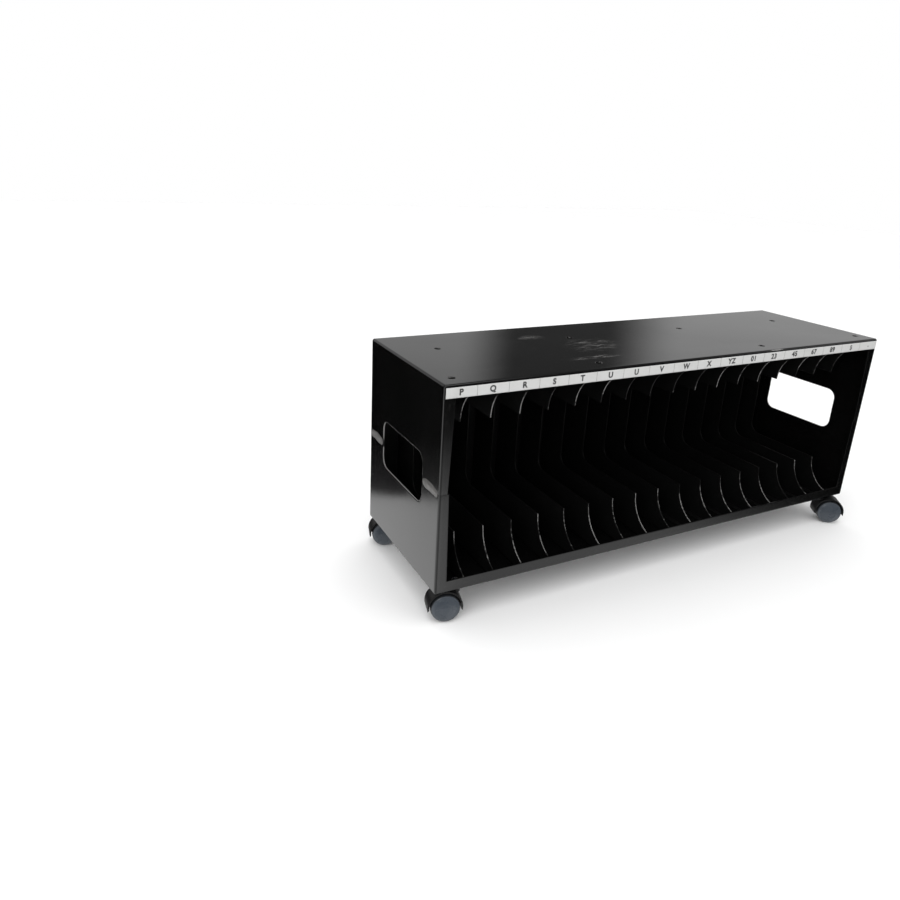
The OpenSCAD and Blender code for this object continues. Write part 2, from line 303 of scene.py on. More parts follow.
def black_enamel(name, gloss, depth, sheen, marks):
    """Stoved enamel: nearly black, with orange peel, fine scratches, dust and worn rims; on the dividers the
    worn rims are painted highlights.

    gloss is the roughness of clean paint, depth its brightness and sheen how much it
    mirrors. marks are (x, y, half length, half width) patches on the top sheet where
    tape was torn off and the paint is scuffed.
    """
    material, tree, shader, place = new_material(name)
    cloud = noise(tree, place, 9.0, 4.0)
    speck = noise(tree, place, 160.0, 6.0, 0.7)
    hair_a = noise(tree, place, 3.0, 8.0, 0.62, (6, 240, 60))
    hair_b = noise(tree, place, 4.0, 8.0, 0.6, (170, 10, 90))
    scratch = sum_up(
        tree,
        "MAXIMUM",
        between(tree, hair_a, 0.66, 0.72),
        between(tree, hair_b, 0.67, 0.73),
    )
    dust = sum_up(tree, "MULTIPLY", between(tree, speck, 0.52, 0.8), between(tree, cloud, 0.4, 0.75))
    wear_and_painted_light = add(tree, "ShaderNodeAttribute", {"attribute_name": "wear_and_painted_light"}).outputs["Fac"]
    chip_noise = noise(tree, place, 210.0, 5.0, 0.65)
    wear_and_painted_highlight = between(tree, sum_up(tree, "ADD", wear_and_painted_light, sum_up(tree, "MULTIPLY", chip_noise, 0.9)), 1.12, 1.42)
    scuffed = None
    parts = add(tree, "ShaderNodeSeparateXYZ", Vector=place)
    torn = sum_up(tree, "MULTIPLY", noise(tree, place, 26.0, 4.0, 0.6, (0.6, 1.3, 1)), 2.6)
    for x, y, half_x, half_y in marks:
        off_x = sum_up(tree, "DIVIDE", sum_up(tree, "SUBTRACT", parts.outputs[0], x), half_x)
        off_y = sum_up(tree, "DIVIDE", sum_up(tree, "SUBTRACT", parts.outputs[1], y), half_y)
        far = sum_up(tree, "ADD", sum_up(tree, "POWER", off_x, 2.0), sum_up(tree, "POWER", off_y, 2.0))
        patch = between(tree, sum_up(tree, "ADD", far, torn), 2.1, 0.9)
        scuffed = patch if scuffed is None else sum_up(tree, "MAXIMUM", scuffed, patch)
    base = blend_colour(tree, cloud, grey(0.7 * depth), grey(1.4 * depth))
    base = blend_colour(tree, sum_up(tree, "MULTIPLY", dust, 0.3), base, grey(0.04, 0.04))
    base = blend_colour(tree, sum_up(tree, "MULTIPLY", scratch, 0.35), base, grey(0.06))
    rough = between(tree, cloud, 0.3, 0.7, gloss * 0.85, gloss * 1.2)
    rough = sum_up(tree, "ADD", rough, sum_up(tree, "MULTIPLY", scratch, 0.12))
    rough = sum_up(tree, "ADD", rough, sum_up(tree, "MULTIPLY", dust, 0.12))
    if scuffed is not None:
        streak = noise(tree, place, 5.0, 7.0, 0.6, (9, 55, 9))
        tape = sum_up(tree, "MULTIPLY", scuffed, between(tree, streak, 0.44, 0.62))
        base = blend_colour(tree, sum_up(tree, "MULTIPLY", tape, 0.8), base, grey(0.12, 0.02))
        rough = sum_up(tree, "ADD", rough, sum_up(tree, "MULTIPLY", tape, 0.25))
    # worn paint turns bare grey: real edge wear on the shells, painted highlight on the divider edges
    base = blend_colour(tree, wear_and_painted_highlight, base, grey(0.33, 0.015))
    rough = sum_up(tree, "ADD", rough, sum_up(tree, "MULTIPLY", wear_and_painted_highlight, 0.12))
    tree.links.new(base, shader.inputs["Base Color"])
    tree.links.new(rough, shader.inputs["Roughness"])
    metal = sum_up(tree, "MULTIPLY", wear_and_painted_highlight, 0.55)
    tree.links.new(metal, shader.inputs["Metallic"])
    shader.inputs["Specular IOR Level"].default_value = sheen
    peel = noise(tree, place, 700.0, 2.0, 0.4)
    swell = noise(tree, place, 22.0, 2.0, 0.4)
    relief = sum_up(tree, "ADD", sum_up(tree, "MULTIPLY", peel, 0.05), sum_up(tree, "MULTIPLY", swell, 0.5))
    relief = sum_up(tree, "SUBTRACT", relief, sum_up(tree, "MULTIPLY", scratch, 0.1))
    bump = add(tree, "ShaderNodeBump", Strength=0.25, Distance=0.0006, Height=relief)
    tree.links.new(bump.outputs[0], shader.inputs["Normal"])
    return material


def folded_tray(name, side, end_z, seam_flange, with_bolt_holes, seed):
    """Outer surface of one folded shell, as a grid of stations u and steps v.

    u runs up the left end, round the corner, along the top sheet and down the right
    end. v runs from the front lip over the bend, through the depth and round the
    rear bend to the rear lip. A point of a bend is the corner's centre plus
    r sin(a) along the station's normal, with r cos(a) taken off the depth.
    """
    height = abs(end_z - SEAM_Z)
    hand_w = corner_levels(HAND_HALF[1], HAND_RADIUS, CORNER_STEPS, HAND_MARGINS)
    end_w = [0, *hand_w[hand_w > 0], height - BEND - 6 * MM, height - BEND]
    end_w = filled(end_w, END_STEP)
    hole_x = corner_levels(BOLT_RADIUS, BOLT_RADIUS, 4, BOLT_MARGINS) if with_bolt_holes else np.zeros(0)
    inner = HALF_LENGTH - BEND
    top_x = [np.array([-inner, 5 * MM - inner, inner - 5 * MM, inner])]
    top_x += [x + hole_x for x, _ in BOLT_HOLES if with_bolt_holes]
    top_x = filled(np.concatenate(top_x), TOP_STEP)
    turn = np.radians(np.linspace(0, 90, 7)[1:-1])
    rank_end = np.full(len(end_w), 0)
    kind = np.concatenate([rank_end, np.full(5, 1), np.full(len(top_x), 2), np.full(5, 3), rank_end + 4])
    centre_x = np.concatenate([
        np.full(len(end_w), -inner), np.full(5, -inner), top_x,
        np.full(5, inner), np.full(len(end_w), inner),
    ])
    centre_w = np.concatenate([end_w, np.full(10 + len(top_x), height - BEND), end_w[::-1]])
    ones, zeros = np.ones(len(end_w)), np.zeros(len(end_w))
    normal_x = np.concatenate([-ones, -np.cos(turn), 0 * top_x, np.cos(turn[::-1]), ones])
    normal_w = np.concatenate([zeros, np.sin(turn), 1 + 0 * top_x, np.sin(turn[::-1]), zeros])
    up_share = centre_w / (height - BEND)
    end_side = np.sign(centre_x)
    on_end = (kind == 0) | (kind == 4)
    on_top = kind == 2

    def lip(width, seam_width, drop):
        x_end = end_side * (HALF_LENGTH - seam_width - (width - seam_width) * up_share)
        x_top = centre_x * (HALF_LENGTH - width) / inner
        x_corner = end_side * (HALF_LENGTH - width)
        x = np.where(on_end, x_end, np.where(on_top, x_top, x_corner))
        w = np.where(on_end, up_share * (height - drop), height - drop)
        return np.stack([x, w], -1)

    centre = np.stack([centre_x, centre_w], -1)[:, None]
    normal = np.stack([normal_x, normal_w], -1)[:, None]
    to_front = lip(SIDE_FLANGE, seam_flange, FRONT_FLANGE)[:, None] - centre
    to_rear = lip(REAR_FLANGE, REAR_FLANGE, REAR_FLANGE)[:, None] - centre
    flange = np.array([1, 0.86, 0.6, 0.3])
    bend = np.linspace(0, 90, 7)[:-1]
    hand_y = corner_levels(HAND_HALF[0], HAND_RADIUS, CORNER_STEPS, HAND_MARGINS)
    rows = [np.array([BEND - HALF_DEPTH, HALF_DEPTH - BEND, 9 * MM - HALF_DEPTH]), hand_y]
    rows += [row + hole_x for row in (FRONT_ROW, REAR_ROW)]
    depth = filled(np.concatenate(rows), DEPTH_STEP)
    many = len(depth)
    angle = np.radians(np.concatenate([0 * flange, bend, np.full(many, 90), bend[::-1], 0 * flange]))
    q_front = np.concatenate([flange, np.zeros(len(bend) * 2 + many), 0 * flange])
    q_rear = np.concatenate([0 * flange, np.zeros(len(bend) * 2 + many), flange[::-1]])
    middle = np.concatenate([
        np.full(len(flange) + len(bend), BEND - HALF_DEPTH), depth,
        np.full(len(flange) + len(bend), HALF_DEPTH - BEND),
    ])
    towards = np.concatenate([
        np.full(len(flange) + len(bend), -1), np.zeros(many), np.full(len(flange) + len(bend), 1),
    ])
    out = BEND * np.sin(angle)[None, :, None]
    flat = centre + out * normal + q_front[None, :, None] * to_front + q_rear[None, :, None] * to_rear
    x, w = flat[..., 0], flat[..., 1]
    y = np.broadcast_to(middle + towards * BEND * np.cos(angle), x.shape).copy()
    in_depth = np.broadcast_to(towards == 0, x.shape)
    end_zone = on_end[:, None] & in_depth
    top_zone = on_top[:, None] & in_depth

    # cut-outs: cells whose middle is inside one are dropped, and its corners rounded
    keep = ~(cell_in(end_zone) & (np.abs(cell_middle(y)) < HAND_HALF[0]) & (cell_middle(w) < HAND_HALF[1]))
    rim = np.zeros(x.shape)
    near_hand = np.maximum(np.abs(y) - HAND_HALF[0], w - HAND_HALF[1])
    rim = np.where(end_zone & (np.abs(near_hand) < 1e-5), 1.0, rim)
    shift_y, shift_w = rounded(y, w, *HAND_HALF, HAND_RADIUS, HAND_FADE)
    new_y, new_w, new_x = y + end_zone * shift_y, w + end_zone * shift_w, x.copy()
    for hole_at_x, hole_at_y in BOLT_HOLES if with_bolt_holes else ():
        from_x, from_y = x - hole_at_x, y - hole_at_y
        inside = np.maximum(np.abs(cell_middle(from_x)), np.abs(cell_middle(from_y))) < BOLT_RADIUS
        keep &= ~(cell_in(top_zone) & inside)
        away = np.maximum(np.abs(from_x), np.abs(from_y)) - BOLT_RADIUS
        rim = np.where(top_zone & (np.abs(away) < 1e-5), 0.75, rim)
        shift_x, shift_y = rounded(from_x, from_y, BOLT_RADIUS, BOLT_RADIUS, BOLT_RADIUS, BOLT_FADE)
        new_x, new_y = new_x + top_zone * shift_x, new_y + top_zone * shift_y
    x, y, w = new_x, new_y, new_w

    # the sheet isn't quite flat: it sinks a little between its stiff edges
    edge_x = np.clip((HALF_LENGTH - np.abs(x)) / STIFF_RIM, 0, 1)
    edge_y = np.clip((HALF_DEPTH - np.abs(y)) / STIFF_RIM, 0, 1)
    sink = TOP_SINK * ripples(x, y, seed, 7, 0.42) * edge_x * edge_y
    w = w - np.where(top_zone, sink, 0)
    end_edge = np.clip((height - w) / STIFF_RIM, 0, 1) * edge_y
    lean = END_LEAN * ripples(y, w, seed + 5, 5, 0.3) * end_edge
    x = x - np.where(end_zone, np.sign(x) * lean, 0)

    wear_and_painted_light = rim
    wear_and_painted_light[0] = wear_and_painted_light[-1] = 0.45
    wear_and_painted_light[:, 0] = 0.42
    wear_and_painted_light[:, -1] = 0.5
    on_bend = (towards != 0) & (angle > 0.6) & (angle < 1.2)
    wear_and_painted_light[:, on_bend] = np.maximum(wear_and_painted_light[:, on_bend], 0.3)
    wear_and_painted_light[(kind == 1) | (kind == 3)] += 0.12
    front_bend = (towards < 0) & (angle > 0.5)
    rubbed = np.exp(-(((x - RUB_X) / RUB_HALF) ** 2)) * on_top[:, None] * front_bend[None, :]
    wear_and_painted_light = np.where(side > 0, wear_and_painted_light + 0.7 * rubbed, wear_and_painted_light)
    points = np.stack([x, y, SEAM_Z + side * w], -1)
    return grid_mesh(name, points, keep, wear_and_painted_light, flip=side < 0)


SHELL_EDGE = 0.45 * MM
TOP_SCUFFS = [
    (-0.130, -0.008, 0.085, 0.048),
    (-0.212, 0.070, 0.036, 0.020),
    (-0.180, -0.085, 0.070, 0.012),
]
upper_enamel = black_enamel("black_enamel_upper", 0.085, 0.0025, 0.65, TOP_SCUFFS)
lower_enamel = black_enamel("black_enamel_lower", 0.085, 0.0025, 0.65, [])
upper_shell = put_in(
    "upper_shell_sheet",
    folded_tray("upper_shell_sheet", 1, TOP_Z, UPPER_SEAM_FLANGE, True, 11),
    upper_enamel,
    "root",
    "black_enamel",
    "upper_shell",
)
lower_shell = put_in(
    "lower_shell_sheet",
    folded_tray("lower_shell_sheet", -1, BOTTOM_Z, LOWER_SEAM_FLANGE, False, 23),
    lower_enamel,
    "root",
    "black_enamel",
    "lower_shell",
)
for shell in (upper_shell, lower_shell):
    thicken(shell, SHEET, SHELL_EDGE)

# ------------------------------------------------------------------ weld beads
# Four short fillets of weld metal close the seam beside the hand holes. They were
# laid by hand with a stick or wire, so each shows overlapping crescent ripples,
# a wavering edge and thin enamel that has flaked off the crests.
BEAD_HALF = 9.6 * MM
BEAD_RISE = 1.4 * MM
BEAD_END_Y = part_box("weld_beads")[1][1]
BEAD_START_Y = HAND_HALF[0] + 2.5 * MM


def weld_bead(end, side, seed):
    """One bead as a grid: along it s from 0 to 1, across it t from -1 to 1.

    Its height is an arch in t times crescents, which are a sine of the distance
    along plus t squared, so that each ripple bows backward. Its edge wavers.
    """
    s = np.linspace(0, 1, 121)[:, None]
    t = np.linspace(-1, 1, 33)[None, :]
    rng = np.random.default_rng(seed)
    phases = rng.uniform(0, 2 * math.pi, 6)
    length = BEAD_END_Y - BEAD_START_Y
    waver = sum(np.sin(s * (9 + 7 * k) + phases[k]) / (k + 2) for k in range(4))
    width = BEAD_HALF * (0.84 + 0.09 * waver) * (1 - 0.55 * np.abs(2 * s - 1) ** 6)
    drift = 0.6 * MM * np.sin(s * 7 + phases[4])
    crescents = np.sin(2 * math.pi * (s * length / (3.6 * MM) + 0.75 * t**2) + phases[5])
    arch = np.clip(1 - t**2, 0, 1) ** 0.7
    lumps = 0.5 + 0.5 * np.sin(s * 31 + 3 * t + phases[1]) * np.sin(s * 17 + phases[2])
    ends = np.clip(1 - np.abs(2 * s - 1) ** 8, 0, 1) ** 0.5
    rise = BEAD_RISE * arch * ends * (0.52 + 0.3 * crescents + 0.18 * lumps)
    rise = np.clip(rise, -0.2 * MM, BEAD_RISE) - 0.12 * MM
    x = end * (HALF_LENGTH + rise)
    y = side * (BEAD_START_Y + s * length) + 0 * t
    z = SEAM_Z + drift + width * t
    wear_and_painted_light = 0.55 * arch * (0.5 + 0.5 * crescents) * np.ones_like(s)
    points = np.stack([x, y, z], -1)
    return points, wear_and_painted_light


def weld_metal():
    """Grey-brown weld metal under thin black enamel that has come off the crests."""
    material, tree, shader, place = new_material("weld_metal")
    wear_and_painted_light = add(tree, "ShaderNodeAttribute", {"attribute_name": "wear_and_painted_light"}).outputs["Fac"]
    grain = noise(tree, place, 420.0, 5.0, 0.65)
    patch = noise(tree, place, 70.0, 4.0)
    bare = between(tree, sum_up(tree, "ADD", wear_and_painted_light, sum_up(tree, "MULTIPLY", patch, 0.7)), 0.3, 0.75)
    paint = blend_colour(tree, patch, grey(0.03), grey(0.07, 0.05))
    metal = blend_colour(tree, grain, grey(0.11, 0.03), grey(0.32, 0.02))
    tree.links.new(blend_colour(tree, bare, paint, metal), shader.inputs["Base Color"])
    tree.links.new(sum_up(tree, "MULTIPLY", bare, 0.75), shader.inputs["Metallic"])
    tree.links.new(between(tree, grain, 0.3, 0.7, 0.3, 0.55), shader.inputs["Roughness"])
    bump = add(tree, "ShaderNodeBump", Strength=0.5, Distance=0.0003, Height=grain)
    tree.links.new(bump.outputs[0], shader.inputs["Normal"])
    return material


bead_points, bead_wear = zip(*[
    weld_bead(end, side, 40 + 3 * k)
    for k, (end, side) in enumerate([(-1, -1), (-1, 1), (1, -1), (1, 1)])
])
bead_parts = [
    grid_mesh(f"bead_{k}", points, np.ones((120, 32), bool), wear_and_painted_light, flip)
    for k, (points, wear_and_painted_light, flip) in enumerate(zip(bead_points, bead_wear, (False, True, True, False)))
]


def joined(name, meshes):
    """One mesh out of several, with their wear values."""
    spots, faces, wear_and_painted_light, start = [], [], [], 0
    for part in meshes:
        count = len(part.vertices)
        co = np.empty(count * 3)
        part.vertices.foreach_get("co", co)
        values = np.empty(count)
        part.attributes["wear_and_painted_light"].data.foreach_get("value", values)
        spots.append(co.reshape(-1, 3))
        wear_and_painted_light.append(values)
        faces += [[start + v for v in face.vertices] for face in part.polygons]
        start += count
        bpy.data.meshes.remove(part)
    mesh = bpy.data.meshes.new(name)
    mesh.from_pydata(np.concatenate(spots).tolist(), [], faces)
    layer = mesh.attributes.new("wear_and_painted_light", "FLOAT", "POINT")
    layer.data.foreach_set("value", np.concatenate(wear_and_painted_light).astype(np.float32))
    mesh.shade_smooth()
    return mesh


weld_material = weld_metal()
beads = put_in(
    "weld_bead_run", joined("weld_bead_run", bead_parts), weld_material, "root", "raw_weld", "weld_beads"
)
root_wall = beads.modifiers.new("root", "SOLIDIFY")
root_wall.thickness = 0.5 * MM
root_wall.offset = -1

# ------------------------------------------------------------------- back panel
# A flat 2 mm sheet closes the back from the inside. It is spot-welded to the rear
# flanges, which leaves a row of shallow dimples, and it bows a little in between.
back_low, back_high = (np.array(c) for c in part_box("back_panel"))
WELD_PITCH = 58.0 * MM
DIMPLE_RADIUS = 3.2 * MM


def back_sheet():
    """The panel's rear face as a grid, with dimples where the spot welds are.

    A dimple is a bell curve of the distance to the nearest weld, and the welds lie
    on the line through the middle of the flange.
    """
    inset = 9.0 * MM - (HALF_LENGTH - back_high[0])
    x = np.linspace(back_low[0], back_high[0], 331)[:, None]
    z = np.linspace(back_low[2], back_high[2], 117)[None, :]
    line_x = np.minimum(np.abs(x - back_low[0] - inset), np.abs(back_high[0] - inset - x))
    line_z = np.minimum(np.abs(z - back_low[2] - inset), np.abs(back_high[2] - inset - z))
    beat_x = np.abs((x / WELD_PITCH + 0.5) % 1 - 0.5) * WELD_PITCH
    beat_z = np.abs(((z - SEAM_Z) / WELD_PITCH) % 1 - 0.5) * WELD_PITCH
    far_row = line_z**2 + beat_x**2
    far_column = line_x**2 + beat_z**2
    dimple = np.exp(-np.minimum(far_row, far_column) / DIMPLE_RADIUS**2)
    stiff = np.clip(np.minimum(line_x, line_z) / (50 * MM), 0, 1)
    bow = 0.5 * MM * ripples(x + 0 * z, z + 0 * x, 71, 6, 0.5) * stiff
    y = back_high[1] - 0.25 * MM * dimple - bow
    points = np.stack([x + 0 * z, y, z + 0 * x], -1)
    wear_and_painted_light = 0.2 * dimple
    wear_and_painted_light[0] = wear_and_painted_light[-1] = wear_and_painted_light[:, 0] = wear_and_painted_light[:, -1] = 0.6
    return grid_mesh("back_panel_sheet", points, np.ones((330, 116), bool), wear_and_painted_light, flip=True)


inner_enamel = black_enamel("black_enamel_inner", 0.36, 0.006, 0.3, [])
back = put_in("back_panel_sheet", back_sheet(), inner_enamel, "root", "black_enamel", "back_panel")
thicken(back, SHEET, 0.3 * MM)

# --------------------------------------------------------------------- dividers
# Seventeen C-shaped plates stand between the compartments. Each is sheared from
# 2 mm sheet, with hollow-curved noses at the front of its arms, and has tabs folded
# over at the top and bottom that are spot-welded to the shells.
ARM = 80.0 * MM
NOSE_RADIUS = 67.0 * MM
NOSE_SET = 48.0 * MM
CROOK = 25.0 * MM
WEB = 71.0 * MM
DIVIDER_SET = 5.0 * MM
FOLD = 3.0 * MM
PLATE_HALF = 1.0 * MM
TAB = 13.0 * MM
PLATE_EDGE = 0.55 * MM
PLATE_STEP = 17.0 * MM
NOSE_MARGIN = 3.0 * MM
REAR_MARGIN = 5.0 * MM
FOLD_MARGIN = 6.0 * MM
CROOK_FADE = 16.0 * MM
STIFF_EDGE = 60.0 * MM
OPEN_FRONT = 1.0


def divider_sheet(name, plate_x, tab_side, seed):
    """Outer face of one divider as a grid of columns y and rows up the plate.

    The rows run along the lower tab, round its fold, up the plate, round the upper
    fold and out along the upper tab. The front of an arm is a circle's arc, so the
    first columns share out the room between that arc and the arm's inner corner.
    """
    front, rear = DIVIDER_SET - HALF_DEPTH, HALF_DEPTH - 2 * SHEET
    corner_y = NOSE_SET - HALF_DEPTH
    hollow_end = rear - WEB
    plate_top = (TOP_Z - BOTTOM_Z) / 2 - SHEET
    hollow_half = (TOP_Z - BOTTOM_Z) / 2 - ARM
    zone = CROOK * np.linspace(0, 1, 7)
    crook_y = hollow_end - CROOK + zone
    web_y = [hollow_end + REAR_MARGIN, rear - REAR_MARGIN, rear]
    columns = filled([corner_y, corner_y + NOSE_MARGIN, *crook_y, *web_y], PLATE_STEP)
    share = np.linspace(0, 1, 8)[:-1]
    arc_rows = hollow_half + NOSE_RADIUS * np.sin(np.radians(np.linspace(0, 69, 15)))
    upper = np.concatenate([
        filled(np.concatenate([[0], hollow_half - CROOK + zone[:-1]]), PLATE_STEP),
        arc_rows,
        [plate_top - FOLD - FOLD_MARGIN, plate_top - FOLD],
    ])
    upper = np.unique(np.round(upper, 6))
    fold = np.radians(np.linspace(0, 90, 6)[1:])
    tab = np.linspace(FOLD - PLATE_HALF, TAB - PLATE_HALF, 4)[1:]
    rise = np.concatenate([upper, plate_top - FOLD + FOLD * np.sin(fold), np.full(3, plate_top)])
    lean = np.concatenate([
        np.full(len(upper), -PLATE_HALF), FOLD - PLATE_HALF - FOLD * np.cos(fold), tab,
    ])
    height = np.concatenate([-rise[:0:-1], rise])
    across = np.concatenate([lean[:0:-1], lean])
    over = np.clip((np.abs(height) - hollow_half) / NOSE_RADIUS, 0, 1)
    arc_front = corner_y - NOSE_RADIUS + NOSE_RADIUS * np.sqrt(1 - np.minimum(over, 0.9999) ** 2)
    arc_front = np.maximum(front, arc_front)
    nose = arc_front[None, :] + share[:, None] * (corner_y - arc_front)[None, :]
    y = np.concatenate([nose, np.repeat(columns[:, None], len(height), 1)])
    z = np.repeat(height[None, :], len(y), 0)
    column_kind = np.arange(len(y) - 1)[:, None]
    in_hollow = np.abs(cell_middle(z)) < hollow_half
    keep = ~(in_hollow & ((cell_middle(y) < hollow_end) | (column_kind < len(share))))
    behind = np.arange(len(y))[:, None] >= len(share)
    shift_y, shift_z = rounded(y - hollow_end + OPEN_FRONT, z, OPEN_FRONT, hollow_half, CROOK, CROOK_FADE)
    rim = np.zeros(y.shape)
    flat_row = np.abs(height) <= plate_top - FOLD + 1e-6
    edge_far = np.maximum(y - hollow_end, np.abs(z) - hollow_half)
    # painted highlight: the hollow edges and the nose arcs get high wear values, so the enamel turns bare
    # grey there like edges catching light, brighter on some noses than others
    rim = np.where(behind & (np.abs(edge_far) < 1e-5), 0.56, rim)
    on_arc = (arc_front > front + 1e-6) & (np.abs(height) >= hollow_half - 1e-6)
    nose_highlight_spread = ripples(height, 0 * height + 0.1 * plate_x, seed + 60, 4, 0.12)
    rim[0] = np.where(on_arc, 0.55 + 0.4 * nose_highlight_spread, 0.3)
    rim[:, 0] = rim[:, -1] = rim[-1] = 0.3
    y = y + behind * flat_row * shift_y
    z = z + behind * flat_row * shift_z
    free = np.clip((plate_top - np.abs(z)) / STIFF_EDGE, 0, 1)
    bow = 0.5 * MM * (ripples(y, z, seed, 4, 0.35) - 0.5) * free
    x = plate_x + tab_side * (across[None, :] + bow)
    points = np.stack([x, y, SEAM_Z + z], -1)
    return grid_mesh(name, points, keep, rim, flip=tab_side > 0)


divider_enamel = black_enamel("black_enamel_divider", 0.34, 0.004, 0.25, [])
for number in range(1, SLOTS):
    fold_side = -1 if number > SLOTS / 2 else 1
    sheet_name = f"divider_{number:02d}_plate"
    mesh = divider_sheet(sheet_name, number * PITCH - HALF_LENGTH, fold_side, 300 + number)
    plate = put_in(sheet_name, mesh, divider_enamel, "root", "black_enamel", f"divider_{number:02d}")
    thicken(plate, 2 * PLATE_HALF, PLATE_EDGE)

# ------------------------------------------------------------------ index strip
# A printed paper strip under clear film is stuck along the top front flange. Thin
# rules part its cells, one to a compartment, and each cell has a bold sans label:
# letters, pairs of numerals, a currency sign, and a worn mark in the last cell.
strip_low, strip_high = (np.array(c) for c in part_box("index_strip"))
LABELS = ["P", "Q", "R", "S", "T", "U", "U", "V", "W", "X", "YZ", "01", "23", "45", "67", "89", "$", "-"]
PRINT_PROUD = 0.03 * MM
LETTER_HEIGHT = 9.8 * MM
BOLD = 0.040
BOLD_SIGN = 0.014
CAPITAL_SHARE = 0.73
LABEL_DEPTH = 0.01 * MM
LABEL_SLIP = 0.8 * MM
RULE_HALF = 0.22 * MM


def paper_film():
    """White paper under film: faint fibres, soft patches of grime, a soft gloss."""
    material, tree, shader, place = new_material("index_paper")
    fibre = noise(tree, place, 260.0, 6.0, 0.7, (1, 1, 3))
    stain = noise(tree, place, 14.0, 4.0)
    base = blend_colour(tree, fibre, (0.47, 0.475, 0.47, 1), (0.57, 0.57, 0.56, 1))
    dirty = between(tree, stain, 0.52, 0.78, 0.0, 0.35)
    base = blend_colour(tree, dirty, base, (0.34, 0.335, 0.32, 1))
    tree.links.new(base, shader.inputs["Base Color"])
    tree.links.new(between(tree, stain, 0.3, 0.7, 0.32, 0.48), shader.inputs["Roughness"])
    bump = add(tree, "ShaderNodeBump", Strength=0.12, Distance=0.0002, Height=noise(tree, place, 60.0, 3.0))
    tree.links.new(bump.outputs[0], shader.inputs["Normal"])
    return material


def printing_ink():
    """Black printing ink, broken up a little where the film has rubbed."""
    material, tree, shader, place = new_material("printing_ink")
    rub = noise(tree, place, 900.0, 4.0, 0.7)
    base = blend_colour(tree, between(tree, rub, 0.45, 0.75), grey(0.02), grey(0.12))
    tree.links.new(base, shader.inputs["Base Color"])
    tree.links.new(between(tree, rub, 0.3, 0.7, 0.4, 0.55), shader.inputs["Roughness"])
    return material


def strip_sheet():
    """The strip's front face: a grid that lifts by a hair between its stuck places."""
    x = np.linspace(strip_low[0], strip_high[0], 401)[:, None]
    z = np.linspace(strip_low[2], strip_high[2], 9)[None, :]
    lift = 0.1 * MM * ripples(x + 0 * z, 4 * z + 0 * x, 91, 6, 0.12)
    y = strip_low[1] + PRINT_PROUD + 0.04 * MM + lift
    points = np.stack([x + 0 * z, y, z + 0 * x], -1)
    return grid_mesh("index_paper_strip", points, np.ones((400, 8), bool), 0 * y, flip=False)


strip = put_in("index_paper_strip", strip_sheet(), paper_film(), "root", "index_paper", "index_strip")
strip_wall = strip.modifiers.new("paper", "SOLIDIFY")
strip_wall.thickness = 0.2 * MM
strip_wall.offset = -1


def cell_rules():
    """Thin upright rules between the cells, each a flat ribbon of two columns."""
    rules = np.arange(1, SLOTS) * PITCH - HALF_LENGTH
    x = rules[:, None, None] + np.array([-RULE_HALF, RULE_HALF])[None, :, None]
    z = np.array([strip_low[2], strip_high[2]])[None, None, :]
    spots = np.stack(np.broadcast_arrays(x, strip_low[1] + PRINT_PROUD, z), -1).reshape(-1, 3)
    faces = 4 * np.arange(len(rules))[:, None] + np.array([0, 2, 3, 1])[None, :]
    return spots, faces


def label(text, number):
    """One label as a flat mesh of bold letters, stood upright in the middle of its cell."""
    curve = bpy.data.curves.new("label", "FONT")
    curve.body = text
    curve.size = LETTER_HEIGHT / CAPITAL_SHARE
    curve.align_x = "CENTER"
    curve.align_y = "CENTER"
    curve.offset = (BOLD if text.isalnum() else BOLD_SIGN) * curve.size
    curve.space_character = 1.12
    curve.resolution_u = 4
    holder = bpy.data.objects.new("label", curve)
    bpy.context.scene.collection.objects.link(holder)
    bpy.context.view_layer.update()
    mesh = bpy.data.meshes.new_from_object(holder.evaluated_get(bpy.context.evaluated_depsgraph_get()))
    bpy.data.objects.remove(holder)
    bpy.data.curves.remove(curve)
    co = np.empty(len(mesh.vertices) * 3)
    mesh.vertices.foreach_get("co", co)
    co = co.reshape(-1, 3)
    middle_z = (strip_low[2] + strip_high[2]) / 2
    slip = LABEL_SLIP * math.sin(2.3 * number)
    x = co[:, 0] + slot_middle(number) + slip
    y = np.full(len(co), strip_low[1] + LABEL_DEPTH)
    spots = np.stack([x, y, co[:, 1] + middle_z], -1)
    faces = [list(face.vertices) for face in mesh.polygons]
    bpy.data.meshes.remove(mesh)
    return spots, faces


print_spots, print_faces, print_start = [], [], 0
for spots, faces in [cell_rules()] + [label(text, k + 1) for k, text in enumerate(LABELS)]:
    print_spots.append(spots)
    print_faces += [[print_start + int(v) for v in face] for face in faces]
    print_start += len(spots)
print_mesh = bpy.data.meshes.new("index_printing")
print_mesh.from_pydata(np.concatenate(print_spots).tolist(), [], print_faces)
put_in("index_printing", print_mesh, printing_ink(), "root", "index_paper")

# ------------------------------------------------------- stems, washers and nuts
# Each caster hangs on an M8 steel stem with a collar under the bottom sheet. A flat
# washer and a chamfered hexagon nut hold it inside. All are bright zinc plated.
def zinc_plate():
    """Bright zinc: pale bluish metal with faint turning marks and dull blotches."""
    material, tree, shader, place = new_material("zinc_plate")
    blotch = noise(tree, place, 55.0, 4.0)
    lines = noise(tree, place, 90.0, 4.0, 0.6, (1, 1, 22))
    base = blend_colour(tree, blotch, (0.50, 0.51, 0.52, 1), (0.72, 0.73, 0.72, 1))
    tree.links.new(base, shader.inputs["Base Color"])
    tree.links.new(between(tree, blotch, 0.3, 0.7, 0.24, 0.42), shader.inputs["Roughness"])
    shader.inputs["Metallic"].default_value = 1.0
    bump = add(tree, "ShaderNodeBump", Strength=0.2, Distance=0.0002, Height=lines)
    tree.links.new(bump.outputs[0], shader.inputs["Normal"])
    return material


